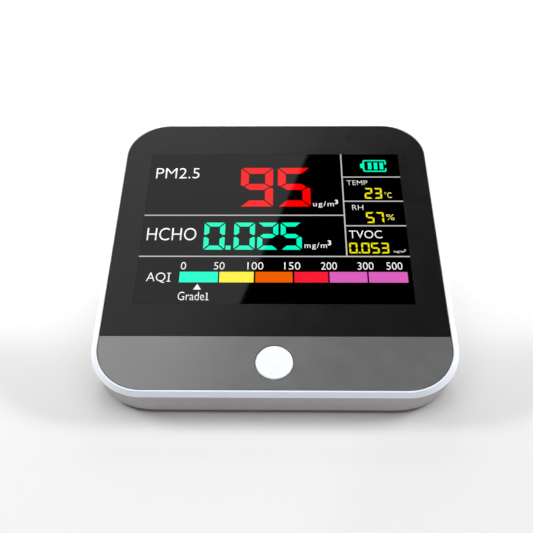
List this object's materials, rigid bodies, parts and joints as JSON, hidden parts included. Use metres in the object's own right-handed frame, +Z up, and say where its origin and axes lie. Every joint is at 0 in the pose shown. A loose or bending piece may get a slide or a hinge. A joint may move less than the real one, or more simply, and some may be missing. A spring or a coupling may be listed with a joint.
{
  "type": "air quality monitor",
  "caption": "Wedge-shaped desktop air quality monitor with a sloping square display face, a round push button, a particle sensor with its fan, and a charging socket.",
  "frame": {"origin": "middle of the outline on the surface that the feet stand on", "axes": "+X to the right of the display, +Y from the low front edge to the back, +Z up"},
  "size_m": [0.0882, 0.0836, 0.0357],
  "materials": {
    "white_shell": "fine satin moulded",
    "white_rim": "smooth gloss",
    "bezel_black": "satin",
    "window": "polished",
    "trim_grey": "satin",
    "button_white": "smooth",
    "rubber_foot": "matte",
    "screw_steel": "zinc plated",
    "label": "blank film",
    "display_glass": "polished",
    "backlight_tray": "smooth",
    "foam": "open foam",
    "ribbon": "polyimide film",
    "connector": "moulded",
    "circuit_board": "solder mask",
    "chip_black": "moulded epoxy",
    "sensor_metal": "drawn can",
    "sensor_case": "moulded",
    "laser_brass": "turned",
    "cell_foil": "laminated foil",
    "wire_red": "insulation",
    "wire_black": "insulation",
    "ribbon_grey": "flat cable",
    "plunger": "moulded"
  },
  "bodies": {
    "housing": {"front_frame": "white_rim", "display_bezel": "bezel_black", "display_lens": "window", "lower_trim": "trim_grey", "rear_shell": "white_shell", "rubber_feet": "rubber_foot", "shell_screws": "screw_steel", "rating_label": "label", "lcd_panel": "display_glass", "lcd_frame": "backlight_tray", "display_foam": "foam", "display_ribbon": "ribbon", "ribbon_connector": "connector", "main_board": "circuit_board", "main_chip": "chip_black", "board_chips": "chip_black", "board_screws": "screw_steel", "buzzer": "chip_black", "climate_sensor": "connector", "tvoc_sensor": "sensor_metal", "hcho_sensor": "sensor_metal", "button_board": "circuit_board", "tact_switch": "chip_black", "button_ribbon": "ribbon", "battery": "cell_foil", "battery_pad": "foam", "battery_lead_red": "wire_red", "battery_lead_black": "wire_black", "battery_plug": "connector", "pm_case": "sensor_case", "pm_cover": "sensor_metal", "pm_gasket": "foam", "pm_board": "circuit_board", "laser_module": "laser_brass", "light_detector": "chip_black", "fan_motor": "sensor_case", "pm_connector": "connector", "pm_ribbon": "ribbon_grey", "usb_board": "circuit_board", "usb_socket": "screw_steel", "usb_screws": "screw_steel"},
    "button": {"power_button": "button_white", "tact_plunger": "plunger"},
    "fan": {"fan_rotor": "chip_black"}
  },
  "joints": [
    {"name": "button_press", "type": "slide", "parent": "housing", "child": "button", "axis": [0, 0.342, -0.9397], "range_m": [0, 0.0003], "stiffness_N_per_m": 1500},
    {"name": "fan_spin", "type": "hinge", "parent": "housing", "child": "fan", "pos_m": [-0.0196, 0.027, 0.0076], "axis": [0, 0, 1], "continuous": true}
  ]
}
